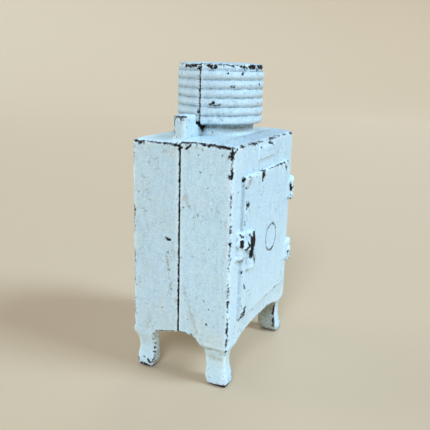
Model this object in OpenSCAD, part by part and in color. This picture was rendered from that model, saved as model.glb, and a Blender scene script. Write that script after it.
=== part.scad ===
// Cast-iron still bank in the form of an early electric refrigerator.
// Two iron castings, front and rear, meet on an upright seam and are held
// by one long machine screw that goes in from the back.
// X is the bank's width, -Y its front, +Z up. The legs stand on Z = 0.

/* [Cabinet] */
// Width of the cabinet, side to side
cab_w = 56; // [52:0.5:60]
// Depth of the cabinet, front to back, without the raised door
cab_d = 37; // [34:0.5:40]
// Height of the cabinet's upper edge above the table
cab_top = 82.6; // [80:0.1:84]
// Height of the flat part of the roof
roof_top = 83.9; // [83:0.1:85]
// Width of the sloped band round the roof
roof_band = 4.6; // [3:0.1:7]
// Height of the cabinet's underside above the table
cab_bottom = 17.2; // [16.5:0.1:18]
// Thickness of the cast walls
wall = 2.7; // [2.2:0.1:3.5]
// Radius of the upright corners
corner_r = 1.1; // [0.6:0.1:1.5]

/* [Coil housing] */
// Full height of the bank
bank_h = 108; // [107:0.5:109]
// Radius of the coil housing over its ribs
drum_r = 15.2; // [14.5:0.1:15.8]
// Depth of the grooves between the ribs
rib_depth = 0.75; // [0.4:0.05:1]
// Height of the coil housing's lower edge
drum_base = 87.6; // [87:0.1:88.2]
// Radius of the low neck under the coil housing
neck_r = 12; // [11.5:0.1:12.8]
// Wall of the coil housing, measured in from the ribs
drum_wall = 3.2; // [2.8:0.1:4]

/* [Door] */
// Left edge of the raised door
door_x0 = -20.3; // [-21:0.1:-19.5]
// Right edge of the raised door
door_x1 = 21.3; // [20.5:0.1:22]
// Lower edge of the raised door
door_z0 = 23.2; // [22:0.1:24]
// Upper edge of the raised door
door_z1 = 72.6; // [71:0.1:74]
// How far the door stands out from the front wall
door_t = 1.4; // [1:0.1:1.8]
// Radius of the plain roundel on the door
roundel_r = 5.15; // [4.5:0.05:5.6]

/* [Joint between the halves] */
// Where the seam lies, from the middle of the depth
seam_y = 0.3; // [0:0.1:0.8]
// Width of the seam between the two rims
seam_gap = 0.4; // [0.3:0.05:0.6]
// Height of the screw's axis
screw_z = 50; // [46:0.5:54]
// Radius of the screw's shank
screw_r = 2.0; // [1.8:0.05:2.2]
// Clearance round the shank in both posts
screw_clear = 0.08; // [0.05:0.01:0.1]
// Radius of the screw's head
head_r = 3.9; // [3.5:0.1:4.2]
// Height of the screw's head
head_h = 2.4; // [2:0.1:2.6]
// Depth of the seat that the head is sunk in
seat_depth = 1.3; // [1:0.1:1.5]
// Radius of the two posts that the screw clamps together
post_r = 5; // [4.8:0.1:6]

/* [Coin slot] */
// Length of the slot in the back
slot_w = 26; // [25:0.5:28]
// Height of the slot in the back
slot_h = 3; // [2.6:0.1:3.4]
// Height of the slot's middle above the table
slot_z = 74; // [70:0.5:76]

/* [Hidden] */
$fn = 96;
eps = 0.01;

hw = cab_w / 2;
hd = cab_d / 2;
// the front relief stands out further than the screw's head does, so all is
// moved back by half the difference and the origin is the middle of the box
relief_out = 3.4;
head_out = head_h - seat_depth;
y_mid = (relief_out - head_out) / 2;

paint = "#dfeaec";
iron = "#6b625a";

// points of an arc about c, from angle a0 to a1
function arc(c, r, a0, a1, n) =
    [for (i = [0:n]) let (a = a0 + (a1 - a0) * i / n) [c[0] + r * cos(a), c[1] + r * sin(a)]];
function flip(p) = [for (i = [len(p) - 1:-1:0]) [-p[i][0], p[i][1]]];

// outlines are given as [distance in from the nearest wall, height]
function from_left(p) = [for (q = p) [q[0] - hw, q[1]]];
function from_front(p) = [for (q = p) [q[0] - hd, q[1]]];
function from_back(p) = [for (q = p) [hd - q[0], q[1]]];

// front view of the front apron's left half and the leg's inner edge. The
// apron is nearly level, then sweeps down into the leg.
apron_front = concat([[0, cab_bottom - 0.25]], from_left([[20, 16.75], [15, 16.2],
    [11.5, 15.4], [9, 14.2], [7.3, 12.6], [6.4, 11], [6.1, 9.4], [6.2, 7.6],
    [6.7, 5.4], [7.1, 3.8], [7.1, 2.4], [6.7, 1.2], [5.8, 0.3], [5, 0]]));
// the rear legs are slimmer, with a square corner where they meet the apron
apron_rear = concat([[0, cab_bottom - 0.2]], from_left([[18, 16.6], [11, 15.9],
    [6.8, 15.3], [5.5, 14.7], [5, 13.6], [5, 9], [5.3, 5], [5.7, 3], [5.6, 1.6],
    [5.1, 0.6], [4.4, 0]]));
// the leg's outer edge steps in under the cabinet, then swells at the foot
leg_outer = from_left([[1.1, 0], [0.6, 0.25], [0.4, 0.9], [0.45, 2.4], [0.8, 4.4],
    [1.4, 7], [1.7, 9.5], [1.6, 11.6], [1.3, 13.2], [0.7, 14], [0, 14.3]]);
cabinet_top = [[-hw, cab_top], [-hw + roof_band, roof_top]];
front_left = concat(apron_front, leg_outer, cabinet_top);
rear_left = concat(apron_rear, leg_outer, cabinet_top);

// side view round the whole outline. The front leg is swept, and the rear
// leg has a straight inner edge with a square corner at the top.
front_leg_side = from_front([[0, 14.3], [0.5, 13.9], [1.1, 12.6], [1.4, 10.5],
    [1.3, 7.5], [0.8, 4.6], [0.4, 2.4], [0.3, 0.9], [0.5, 0.25], [1, 0],
    [6.2, 0], [7.3, 0.4], [8.1, 1.4], [8.5, 3.2], [8.7, 6], [8.9, 9],
    [9.3, 11.4], [10, 13.4], [11, 15], [12.4, 16.3], [14.2, cab_bottom]]);
rear_leg_side = concat([[seam_y, cab_bottom]], from_back([[8.9, 15.3], [8.4, 14.7],
    [8.3, 8], [8.1, 3.4], [7.7, 1.5], [7, 0.4], [6.1, 0], [2.6, 0], [1.5, 0.5],
    [1, 1.8], [0.9, 3.6], [1.3, 6.5], [1.5, 9.2], [1.2, 12], [0.6, 14.6], [0, 17.6]]));
side_outline = concat(front_leg_side, rear_leg_side,
    [[hd, cab_top], [hd - roof_band, roof_top], [-hd + roof_band, roof_top], [-hd, cab_top]]);

plan_outline = concat(
    arc([hw - corner_r, hd - corner_r], corner_r, 0, 90, 4),
    arc([-hw + corner_r, hd - corner_r], corner_r, 90, 180, 4),
    arc([-hw + corner_r, -hd + corner_r], corner_r, 180, 270, 4),
    arc([hw - corner_r, -hd + corner_r], corner_r, 270, 360, 4));

// ribs of the coil housing, as a half profile of radius and height, with a
// plain band above them and a sharp rim round the slightly crowned top
rib_n = 6;
rib_top = bank_h - 2.7;
rib_p = (rib_top - drum_base) / rib_n;
drum_profile = concat([[0, drum_base]],
    [for (k = [0:rib_n - 1], s = [0:5]) let (u = s / 6)
        [drum_r - rib_depth + rib_depth * sqrt(sin(180 * u)), drum_base + rib_p * (k + u)]],
    [[drum_r - rib_depth, rib_top], [drum_r - 0.6, rib_top + 0.5], [drum_r - 0.6, bank_h - 0.9],
     [drum_r - 0.95, bank_h - 0.5], [drum_r - 5, bank_h - 0.15], [0, bank_h]]);

// outer envelope of the cabinet with its legs, from the left half of its front view
module cabinet_solid(left) {
    intersection() {
        rotate([90, 0, 0])
            linear_extrude(height = cab_d + 2, center = true)
                polygon(concat(left, flip(left)));
        rotate([90, 0, 90])
            linear_extrude(height = cab_w + 2, center = true)
                polygon(side_outline);
        translate([0, 0, -1])
            linear_extrude(height = bank_h)
                polygon(plan_outline);
    }
}

// the cabinet's hollow, the throat in the neck and the hollow of the housing
module hollow() {
    translate([-hw + wall, -hd + wall, cab_bottom + wall])
        cube([cab_w - 2 * wall, cab_d - 2 * wall, cab_top - cab_bottom - 2 * wall]);
    translate([0, 0, cab_top - wall - 1])
        cylinder(r = neck_r - 2.7, h = drum_base - cab_top + wall + 4);
    translate([0, 0, drum_base + 2.4])
        cylinder(r = drum_r - drum_wall, h = bank_h - drum_base - 5.2);
}

// what the halves are cut from
module bank_solid(left) {
    difference() {
        union() {
            cabinet_solid(left);
            translate([0, 0, roof_top - 1]) cylinder(r = neck_r, h = drum_base - roof_top + 1.5);
            rotate_extrude() polygon(drum_profile);
        }
        hollow();
    }
}

module front_of_seam() {
    translate([-hw - 5, -hd - 10, -1]) cube([cab_w + 10, hd + 10 + seam_y - seam_gap / 2, bank_h + 2]);
}
module back_of_seam() {
    translate([-hw - 5, seam_y + seam_gap / 2, -1]) cube([cab_w + 10, hd + 10, bank_h + 2]);
}

// a block on the front wall with sloped sides: x0, x1, z0, z1, how far out
module raised(x0, x1, z0, z1, out, slope = 0.35) {
    intersection() {
        translate([0, 0, z0 - 1]) linear_extrude(height = z1 - z0 + 2)
            polygon([[x0, -hd + 0.6], [x0, -hd - out + slope], [x0 + slope, -hd - out],
                [x1 - slope, -hd - out], [x1, -hd - out + slope], [x1, -hd + 0.6]]);
        translate([x0 - 1, 0, 0]) rotate([90, 0, 90]) linear_extrude(height = x1 - x0 + 2)
            polygon([[-hd + 0.6, z0], [-hd - out + slope, z0], [-hd - out, z0 + slope],
                [-hd - out, z1 - slope], [-hd - out + slope, z1], [-hd + 0.6, z1]]);
    }
}

// a round boss on the front wall
module boss(x, z, r, out) {
    translate([x, -hd + 0.5, z]) rotate([90, 0, 0]) cylinder(r = r, h = out + 0.5);
}

// hinge relief: a low leaf across the door's edge and an upright knuckle in
// three rounded lengths
module hinge_relief(zc) {
    raised(19.6, 26.2, zc - 3.7, zc + 3.7, door_t + 0.25, 0.4);
    translate([24.2, -hd - 1.15, zc]) rotate_extrude()
        polygon([[0, -4.9], [0.8, -4.8], [1.35, -4.3], [1.55, -3.4], [1.5, -2.3],
            [1.15, -1.8], [1.15, -1.6], [1.55, -1.1], [1.65, 0], [1.55, 1.1], [1.15, 1.6],
            [1.15, 1.8], [1.5, 2.3], [1.55, 3.4], [1.35, 4.3], [0.8, 4.8], [0, 4.9]]);
}

// latch relief: plate, two small bosses, cross arm and upright handle
module latch_relief() {
    raised(-23.1, -15.2, 45.2, 54.6, door_t + 0.25);
    boss(-21.9, 51, 1.9, 2.2);
    boss(-19.4, 49.6, 1.7, 2.5);
    raised(-19.4, -16, 48.4, 50.8, 2.3, 0.3);
    raised(-18, -14.9, 40.8, 54.4, relief_out, 0.7);
}

module door_relief() {
    difference() {
        raised(door_x0, door_x1, door_z0, door_z1, door_t);
        // a fine ring cut round the plain roundel
        translate([5, -hd - door_t + 0.3, 46.25]) rotate([90, 0, 0]) difference() {
            cylinder(r = roundel_r, h = 1);
            translate([0, 0, -1]) cylinder(r = roundel_r - 0.45, h = 3);
        }
    }
}

module screw_bore(y0, y1) {
    translate([0, y0, screw_z]) rotate([-90, 0, 0]) cylinder(r = screw_r + screw_clear, h = y1 - y0);
}

// length of the bored post on each side of the seam
module post(y0, y1) {
    translate([0, y0, screw_z]) rotate([-90, 0, 0]) cylinder(r = post_r, h = y1 - y0);
}

module front_half() {
    color(paint) translate([0, y_mid, 0]) difference() {
        union() {
            intersection() { bank_solid(front_left); front_of_seam(); }
            post(-hd + wall - 0.5, seam_y);
            door_relief();
            raised(-7.6, 7.6, 76.4, 80.6, 0.45, 0.2);
            latch_relief();
            hinge_relief(61.3);
            hinge_relief(36.2);
            // two tongues inside the side walls that line up the halves
            for (s = [-1, 1])
                translate([s * (hw - wall - 0.3 - 1.0) - 1.0, -4, 34])
                    cube([2.0, 4 + seam_y + 3, 9]);
            for (s = [-1, 1])
                translate([s * (hw - wall - 0.8) - 1.5, -4, 34])
                    cube([3.0, 3, 9]);
        }
        // blind tapped hole, open at the seam
        screw_bore(-hd + wall + 1.2, seam_y + 1);
    }
}

module rear_half() {
    color(paint) translate([0, y_mid, 0]) difference() {
        union() {
            intersection() { bank_solid(rear_left); back_of_seam(); }
            post(seam_y, hd - wall + 0.5);
            // small box on the roof beside the coil housing, with a low web
            translate([-25, seam_y + seam_gap / 2, roof_top - 1.6]) cube([7.8, 4.1, 8.8]);
            translate([-18, seam_y + seam_gap / 2, roof_top - 1]) cube([7.2, 3.2, 4.9]);
        }
        screw_bore(seam_y - 1, hd + 1);
        translate([0, hd - seat_depth, screw_z]) rotate([-90, 0, 0]) cylinder(r = head_r + 0.35, h = 4);
        translate([-slot_w / 2, hd - wall - 1, slot_z - slot_h / 2]) cube([slot_w, wall + 3, slot_h]);
    }
}

module assembly_screw() {
    color(iron) translate([0, y_mid, screw_z]) difference() {
        union() {
            translate([0, -hd + wall + 3.4, 0]) rotate([-90, 0, 0])
                cylinder(r = screw_r, h = cab_d - wall - 3.4 - seat_depth + 0.4);
            // domed head: its underside rests in the seat
            translate([0, hd - seat_depth, 0]) rotate([-90, 0, 0]) rotate_extrude()
                polygon([[0, 0], [head_r, 0], [head_r, 0.9], [head_r - 0.35, 1.5],
                    [head_r - 1.1, 2.0], [head_r - 2.2, 2.3], [0, head_h]]);
        }
        translate([-0.55, hd - seat_depth + head_h - 1.2, -5]) cube([1.1, 3, 10]);
    }
}

front_half();
rear_half();
assembly_screw();
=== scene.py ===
import math

import bmesh
import bpy
import numpy as np
from mathutils import Matrix, Vector


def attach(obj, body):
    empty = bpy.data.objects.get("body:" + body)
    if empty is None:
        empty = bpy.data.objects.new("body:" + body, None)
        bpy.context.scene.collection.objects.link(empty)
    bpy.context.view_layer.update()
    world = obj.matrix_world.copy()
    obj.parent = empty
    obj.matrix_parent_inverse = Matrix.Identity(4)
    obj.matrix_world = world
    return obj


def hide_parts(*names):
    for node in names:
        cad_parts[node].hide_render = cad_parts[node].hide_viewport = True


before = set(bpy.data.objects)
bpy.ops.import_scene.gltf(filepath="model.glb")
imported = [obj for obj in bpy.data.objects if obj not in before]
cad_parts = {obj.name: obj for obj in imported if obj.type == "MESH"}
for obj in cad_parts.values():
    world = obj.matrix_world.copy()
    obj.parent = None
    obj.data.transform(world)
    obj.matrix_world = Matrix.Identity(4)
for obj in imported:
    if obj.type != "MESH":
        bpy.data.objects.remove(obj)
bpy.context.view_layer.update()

# ---------------------------------------------------------------- sizes, mm
# These repeat the CAD model's own numbers: the frame fixes where things are.
Y_MID = 1.15          # middle of the cabinet's depth
HW, HD = 28.0, 18.5   # half the cabinet's width and depth
CAB_TOP, CAB_BOTTOM, ROOF_TOP = 82.6, 17.2, 83.9
FRONT_Y, BACK_Y = Y_MID - HD, Y_MID + HD
DOOR_Y = FRONT_Y - 1.4
SEAM_Y = 1.45
DRUM_R, DRUM_BASE, BANK_H = 15.2, 87.6, 108.0
VOXEL = 0.37


# ---------------------------------------------------------------- helpers
def noise(p, seed, size=1.0, octaves=1):
    """Gradient noise at points p in mm, about -1 to 1. size is the wavelength in mm, one number or three."""
    rng = np.random.RandomState(seed)
    perm = rng.permutation(256)
    grad = rng.normal(size=(256, 3))
    grad /= np.linalg.norm(grad, axis=1)[:, None]
    total, amp, norm = np.zeros(len(p)), 1.0, 0.0
    q = p / np.asarray(size, dtype=float)
    for o in range(octaves):
        i = np.floor(q).astype(np.int64)
        f = q - i
        u = f * f * f * (f * (f * 6 - 15) + 10)
        out = np.zeros(len(p))
        for dx in (0, 1):
            for dy in (0, 1):
                for dz in (0, 1):
                    h = perm[(perm[(perm[(i[:, 0] + dx) & 255] + i[:, 1] + dy) & 255] + i[:, 2] + dz) & 255]
                    g = grad[h]
                    d = (g[:, 0] * (f[:, 0] - dx) + g[:, 1] * (f[:, 1] - dy) + g[:, 2] * (f[:, 2] - dz))
                    wx = u[:, 0] if dx else 1 - u[:, 0]
                    wy = u[:, 1] if dy else 1 - u[:, 1]
                    wz = u[:, 2] if dz else 1 - u[:, 2]
                    out += wx * wy * wz * d
        total += amp * out
        norm += amp
        amp *= 0.5
        q = q * 2.03 + 17.3
    return total / norm * 1.7


def smoothstep(x, a, b):
    t = np.clip((x - a) / (b - a), 0, 1)
    return t * t * (3 - 2 * t)


def verts_of(me):
    v = np.empty(len(me.vertices) * 3)
    me.vertices.foreach_get("co", v)
    return v.reshape(-1, 3) * 1000.0


def put_verts(me, v):
    me.vertices.foreach_set("co", (v / 1000.0).astype(np.float32).ravel())
    me.update()


def normals_of(me):
    n = np.empty(len(me.vertices) * 3, dtype=np.float32)
    me.vertex_normals.foreach_get("vector", n)
    return n.reshape(-1, 3).astype(float)


def edges_of(me):
    e = np.empty(len(me.edges) * 2, dtype=np.int32)
    me.edges.foreach_get("vertices", e)
    return e.reshape(-1, 2)


class Smoother:
    """Averages values over each vertex's neighbours."""

    def __init__(self, me):
        e = edges_of(me)
        self.a = np.concatenate([e[:, 0], e[:, 1]])
        self.b = np.concatenate([e[:, 1], e[:, 0]])
        self.n = len(me.vertices)
        self.count = np.maximum(np.bincount(self.a, minlength=self.n), 1)

    def mean(self, v):
        if v.ndim == 1:
            return np.bincount(self.a, weights=v[self.b], minlength=self.n) / self.count
        return np.stack([self.mean(v[:, k]) for k in range(v.shape[1])], 1)

    def run(self, v, times, factor=0.5):
        for _ in range(times):
            v = v + factor * (self.mean(v) - v)
        return v


def capsule(p, c):
    """Distance in mm from points p to the segment c[0:3] to c[3:6]."""
    a, b = np.array(c[0:3], float), np.array(c[3:6], float)
    d = b - a
    t = np.clip(((p - a) @ d) / max(float(d @ d), 1e-9), 0, 1)
    return np.linalg.norm(p - a - t[:, None] * d, axis=1)


def spots(p, items):
    """The highest of radius minus distance over the listed spots and streaks, and the radius there."""
    best = np.full(len(p), -99.0)
    for c in items:
        if len(c) == 4:
            d = c[3] - np.linalg.norm(p - np.array(c[0:3], float), axis=1)
        else:
            d = c[6] - capsule(p, c)
        best = np.maximum(best, d)
    return best


def store(me, name, values):
    if values.ndim == 1:
        a = me.attributes.new(name, "FLOAT", "POINT")
        a.data.foreach_set("value", values.astype(np.float32))
    else:
        a = me.attributes.new(name, "FLOAT_VECTOR", "POINT")
        a.data.foreach_set("vector", values.astype(np.float32).ravel())


def applied(ob):
    """The object's mesh with its modifiers applied, and the modifiers gone."""
    dg = bpy.context.evaluated_depsgraph_get()
    me = bpy.data.meshes.new_from_object(ob.evaluated_get(dg))
    ob.modifiers.clear()
    old = ob.data
    ob.data = me
    bpy.data.meshes.remove(old)
    return me


def remeshed(node, name, voxel):
    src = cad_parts[node]
    me = src.data.copy()
    me.materials.clear()
    ob = bpy.data.objects.new(name, me)
    bpy.context.scene.collection.objects.link(ob)
    bm = bmesh.new()
    bm.from_mesh(me)
    bmesh.ops.remove_doubles(bm, verts=bm.verts, dist=1e-6)
    bm.to_mesh(me)
    bm.free()
    m = ob.modifiers.new("voxels", "REMESH")
    m.mode = "VOXEL"
    m.voxel_size = voxel / 1000.0
    m.adaptivity = 0
    applied(ob)
    return ob


def hollow_depth(p):
    """How far, in mm, a point lies on the hollow's side of the middle of the walls."""
    x, y, z = p[:, 0], p[:, 1] - Y_MID, p[:, 2]
    rho = np.hypot(x, y)
    box = -np.maximum.reduce([np.abs(x) - 26.65, np.abs(y) - 17.15, z - 81.2, 18.6 - z])
    throat = -np.maximum.reduce([rho - 10.7, z - 90.5, 80.0 - z])
    drum = -np.maximum.reduce([rho - 13.1, 88.9 - z, z - 106.6])
    return np.maximum.reduce([box, throat, drum])


# ---------------------------------------------------------------- wear, placed one by one
# Bare spots (x, y, z, radius) and streaks (x, y, z, x, y, z, radius), in mm.
CHIPS = [
    # coil housing, rear half
    (-12.9, 8.0, 106.6, 0.75), (-13.4, 6.6, 106.6, -14.3, 3.4, 106.7, 0.55),
    (-14.2, 4.6, 107.1, -14.4, 2.0, 107.2, 0.4), (-14.5, 2.2, 105.8, 0.5),
    (-12.4, 10.0, 104.1, 0.35), (-11.3, 10.7, 96.9, 0.35), (-14.5, 1.8, 103.3, 0.45),
    (-14.9, 1.8, 91.9, 0.55), (-14.6, 2.0, 99.0, 0.3),
    # coil housing, front half
    (-14.0, 0.3, 107.2, -13.5, -3.6, 107.2, 0.32), (-13.5, -3.6, 107.2, -11.4, -7.8, 107.2, 0.26),
    (-14.4, -1.2, 106.8, -13.8, -3.6, 106.4, 0.7), (-14.2, -2.6, 105.9, 0.5),
    (-11.3, -8.1, 106.9, -10.5, -9.0, 106.7, 0.4), (-9.0, -10.4, 106.7, -7.2, -11.6, 106.3, 0.5),
    (-7.9, -11.4, 105.9, 0.35), (-5.8, -12.4, 106.8, 2.4, -13.3, 106.6, 0.85),
    (-2.0, -13.2, 106.0, 0.6), (3.0, -13.2, 106.9, 7.5, -11.3, 107.1, 0.5),
    (-12.4, -7.3, 104.5, 0.34), (-11.8, -8.2, 104.3, 0.3), (-8.8, -11.1, 104.5, 0.5),
    (-2.2, -13.7, 104.4, 0.22), (-6.1, -12.8, 100.9, 0.28), (-1.1, -14.0, 101.0, 0.42),
    (-11.8, -8.3, 100.3, -10.9, -9.2, 100.2, 0.26), (-1.6, -13.9, 94.8, 0.32),
    (-14.6, -2.2, 94.4, -13.7, -5.2, 94.2, 0.36), (-14.4, -3.2, 95.0, 0.6),
    (-14.7, 0.3, 92.6, 0.35), (-14.5, 0.8, 97.8, 0.28),
    # foot of the seam beside the neck
    (-15.2, 2.2, 87.9, -12.6, 1.6, 86.0, 0.95), (-11.9, 1.4, 86.8, 0.8), (-15.8, 2.0, 88.2, 0.7),
    # box on the roof
    (-25.0, 5.5, 91.0, -25.0, 2.2, 91.0, 0.52), (-25.0, 4.4, 90.6, 0.5), (-24.9, 2.0, 90.8, -23.9, 1.7, 90.9, 0.38),
    (-25.0, 2.9, 89.9, 0.32), (-24.8, 1.9, 90.0, 0.3), (-22.2, 1.7, 89.5, 0.34), (-18.5, 2.6, 91.0, 0.4),
    (-20.9, 2.0, 91.0, 0.25), (-23.4, 1.7, 87.6, -23.3, 1.7, 86.8, 0.14),
    # upper edge of the near side
    (-28.0, 19.0, 82.4, -28.0, 15.2, 82.2, 0.5), (-27.9, 16.6, 81.8, 0.6),
    (-28.0, 13.6, 82.5, -28.0, 12.0, 82.5, 0.3), (-28.0, 11.4, 82.5, -28.0, 3.6, 82.5, 0.4),
    (-28.0, 3.6, 82.3, -27.7, 1.9, 82.0, 0.7), (-27.8, 1.9, 81.0, 0.4),
    (-27.8, 1.0, 83.1, -27.4, -2.6, 83.3, 0.46), (-28.0, -0.8, 81.3, -27.9, -2.4, 82.4, 0.42),
    (-28.0, 0.6, 81.6, 0.4), (-27.4, -2.8, 83.3, -27.5, -6.6, 83.2, 0.48),
    (-27.7, -6.8, 83.1, -27.8, -13.4, 83.0, 0.55), (-27.8, -13.4, 82.9, -27.9, -16.2, 82.6, 0.55),
    (-28.0, -12.6, 82.5, 0.5), (-27.2, -10.4, 83.3, 0.45), (-28.0, -8.6, 82.6, 0.35), (-27.1, -5.2, 83.4, 0.4), (-28.0, -4.6, 82.8, 0.3),
    # near corner and the edge below it
    (-27.8, -16.9, 82.3, -27.8, -16.9, 80.6, 0.62), (-27.8, -16.9, 79.6, 0.85), (-28.0, -15.9, 79.9, 0.5), (-26.6, -17.3, 82.2, 0.45),
    (-27.5, -17.2, 81.0, -24.8, -17.25, 82.5, 0.42), (-22.8, -17.2, 82.5, 0.36), (-27.8, -16.9, 78.0, -27.8, -16.9, 76.8, 0.08),
    (-27.8, -16.8, 76.2, -27.8, -16.8, 73.4, 0.45), (-28.0, -16.1, 73.9, 0.6),
    (-27.8, -16.9, 72.3, 0.2), (-27.8, -16.9, 70.2, 0.14), (-27.8, -16.9, 67.6, 0.26),
    (-27.8, -16.9, 66.2, -27.8, -16.9, 65.4, 0.18), (-27.8, -16.9, 64.0, 0.22),
    (-27.8, -16.9, 61.6, 0.2), (-27.8, -16.9, 58.2, -27.8, -16.9, 55.5, 0.26),
    (-27.8, -16.9, 52.5, -27.8, -16.9, 51.5, 0.32), (-27.8, -16.9, 48.5, -27.8, -16.9, 47.6, 0.34),
    (-27.8, -16.9, 44.0, 0.16), (-27.8, -16.9, 38.5, 0.14), (-27.8, -16.9, 37.3, 0.18),
    (-27.8, -16.9, 32.2, -27.8, -16.9, 30.4, 0.36), (-27.8, -16.9, 28.9, 0.25),
    (-27.8, -16.9, 26.1, -27.8, -16.9, 24.6, 0.32), (-27.8, -16.9, 23.6, -27.8, -16.9, 20.9, 0.28),
    (-27.8, -16.9, 19.2, -27.8, -16.9, 16.2, 0.34), (-27.7, -16.8, 14.5, 0.35),
    (-27.6, -17.0, 26.4, -27.4, -17.1, 15.6, 0.17), (-27.7, -17.0, 54.0, -27.6, -17.0, 34.0, -0.06),
    (-27.8, -16.9, 80.0, -27.8, -16.9, 55.0, -0.04),
    # near side
    (-28.0, 6.5, 50.5, -28.0, 4.9, 50.1, 0.38), (-28.0, 5.5, 45.7, 0.36), (-28.0, 5.8, 42.5, -28.0, 5.8, 41.9, 0.30),
    (-28.0, 5.3, 39.6, 0.32), (-28.0, 7.9, 25.0, 0.22), (-28.0, -9.3, 22.5, 0.28), (-28.0, -12.5, 22.0, 0.24),
    (-28.0, -15.7, 26.6, 0.16), (-28.0, -10.1, 28.2, 0.13), (-28.0, -11.0, 74.0, 0.14),
    (-28.0, -3.2, 70.6, 0.14), (-28.0, -8.6, 70.8, 0.22), (-28.0, -8.7, 69.4, 0.14),
    (-28.0, -5.4, 60.0, 0.14), (-28.0, -4.0, 59.0, 0.12), (-28.0, 19.5, 66.0, -28.0, 17.2, 65.2, 0.1),
    (-28.0, 4.3, 32.6, 0.16), (-28.0, 4.1, 29.3, 0.12), (-28.0, 11.0, 30.5, 0.08), (-28.0, -8.4, 30.6, 0.08), (-28.0, -3.6, 46.3, -28.0, -3.7, 45.3, 0.05), (-28.0, 11.2, 30.5, 0.26), (-28.0, 18.2, 20.5, 0.16), (-28.0, -6.2, 74.2, 0.28), (-28.0, -5.4, 74.0, 0.18),
    (-28.0, -10.0, 77.1, 0.22), (-28.0, -5.2, 79.6, 0.22), (-28.0, -2.5, 62.6, 0.30), (-28.0, -0.2, 62.0, 0.24),
    (-28.0, -13.6, 59.2, 0.20), (-28.0, 4.4, 35.0, 0.24), (-28.0, 5.5, 30.1, 0.20), (-28.0, -8.1, 30.9, 0.20),
    (-28.0, 10.8, 18.8, 0.14), (-28.0, 14.1, 25.3, 0.07), (-28.0, -10.1, 28.2, 0.08),
    # lower edge of the near side, by the seam
    (-28.0, 10.4, 15.5, -28.0, 3.0, 17.1, 0.3), (-27.9, 0.9, 17.3, -27.9, -1.6, 17.6, 0.3),
    # near rear leg
    (-26.0, 11.5, 12.1, 0.42), (-26.2, 11.8, 9.7, 0.50), (-26.3, 11.8, 7.9, 0.55), (-26.6, 11.6, 6.2, 0.60),
    (-27.4, 18.3, 2.9, -27.5, 18.1, 1.2, 0.45), (-27.3, 15.7, 3.7, 0.26), (-27.5, 14.0, 2.9, -27.6, 13.4, 2.2, 0.5),
    (-27.5, 12.7, 2.0, 0.3), (-26.6, 11.8, 1.8, -25.9, 11.7, 2.6, 0.4), (-27.5, 16.8, 1.0, -27.5, 12.9, 0.5, 0.45),
    # near front leg
    (-26.8, -16.1, 6.2, -27.0, -16.2, 5.3, 0.2), (-27.5, -10.9, 3.0, 0.22), (-27.4, -9.4, 1.6, 0.34),
    (-27.5, -16.9, 0.9, -27.5, -15.2, 0.5, 0.55), (-26.4, -17.7, 0.6, -27.2, -17.2, 0.7, 0.8), (-27.5, -13.0, 0.4, 0.3),
    # far front leg
    (21.7, -15.8, 11.6, 21.8, -15.3, 8.1, 0.56), (21.4, -15.6, 5.8, 21.0, -16.0, 2.8, 0.50),
    # door and front
    (-20.4, -18.0, 72.1, -20.3, -17.7, 71.5, 0.62), (-20.4, -18.5, 69.3, -19.8, -18.6, 69.0, 0.34),
    (-17.8, -18.7, 72.4, -16.6, -18.7, 72.5, 0.30),
    (-6.8, -18.1, 72.6, -3.3, -18.4, 72.6, 0.45), (-6.0, -18.8, 71.4, -4.4, -18.8, 71.6, 0.80),
    (-6.1, -18.8, 70.2, -5.0, -18.8, 70.4, 0.72), (-5.0, -18.8, 71.0, -3.7, -18.8, 70.6, 0.5), (-17.6, -18.8, 70.6, -17.0, -18.8, 71.2, 0.26), (-6.2, -18.8, 69.2, -5.6, -18.8, 69.2, 0.40),
    (-19.6, -18.8, 64.5, -18.9, -18.8, 63.2, 0.30), (-18.9, -18.8, 63.3, -17.6, -18.8, 63.1, 0.62),
    (-17.6, -18.8, 64.0, -17.2, -18.8, 63.0, 0.42), (-19.2, -18.8, 62.0, 0.34), (-18.9, -18.8, 59.6, -18.7, -18.8, 57.8, 0.15),
    (-18.9, -18.8, 35.4, -18.2, -18.8, 33.9, 0.36), (-18.0, -18.8, 26.4, -16.4, -18.8, 26.3, 0.50),
    (-19.6, -18.8, 25.0, -17.2, -18.8, 25.2, 0.62), (-20.2, -18.6, 23.8, -18.0, -18.7, 23.9, 0.55),
    (-20.6, -17.8, 22.8, -18.8, -17.5, 22.4, 0.42), (-20.2, -18.7, 28.5, -20.1, -18.7, 27.0, 0.22),
    (-20.4, -18.2, 40.6, -20.4, -18.2, 39.4, 0.2), (-20.4, -18.2, 31.0, -20.4, -18.2, 30.2, 0.16),
    (0.6, -18.7, 72.4, 5.0, -18.7, 72.5, 0.26), (5.6, -18.6, 72.5, 11.4, -18.6, 72.5, 0.34),
    (11.8, -18.6, 72.4, 16.4, -18.6, 72.5, 0.50), (17.2, -18.8, 71.3, 18.6, -18.8, 69.4, 0.50),
    (17.0, -18.8, 70.4, 18.0, -18.8, 70.2, 0.4), (19.8, -18.6, 72.4, 21.3, -18.3, 71.8, 0.45),
    (11.4, -18.8, 23.7, 13.6, -18.8, 23.7, 0.36), (2.2, -18.8, 23.7, 4.4, -18.8, 23.7, 0.24),
    # front edge of the roof, and the small plate
    (-12.4, -16.9, 82.7, -9.0, -17.3, 82.3, 0.45), (-10.4, -17.3, 81.9, 0.5), (-6.3, -17.6, 80.5, -4.9, -17.6, 80.5, 0.24),
    (1.6, -17.3, 81.4, 5.6, -17.5, 80.6, 0.34), (5.2, -17.7, 80.0, 6.2, -17.7, 79.8, 0.3),
    (8.8, -16.6, 82.8, 13.6, -17.2, 82.6, 0.28), (16.6, -17.1, 82.6, 19.4, -17.1, 82.6, 0.36),
    (24.0, -17.2, 82.4, 27.2, -17.0, 82.3, 0.42), (-21.5, -16.6, 82.8, -20.0, -16.6, 82.8, 0.26),
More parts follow.
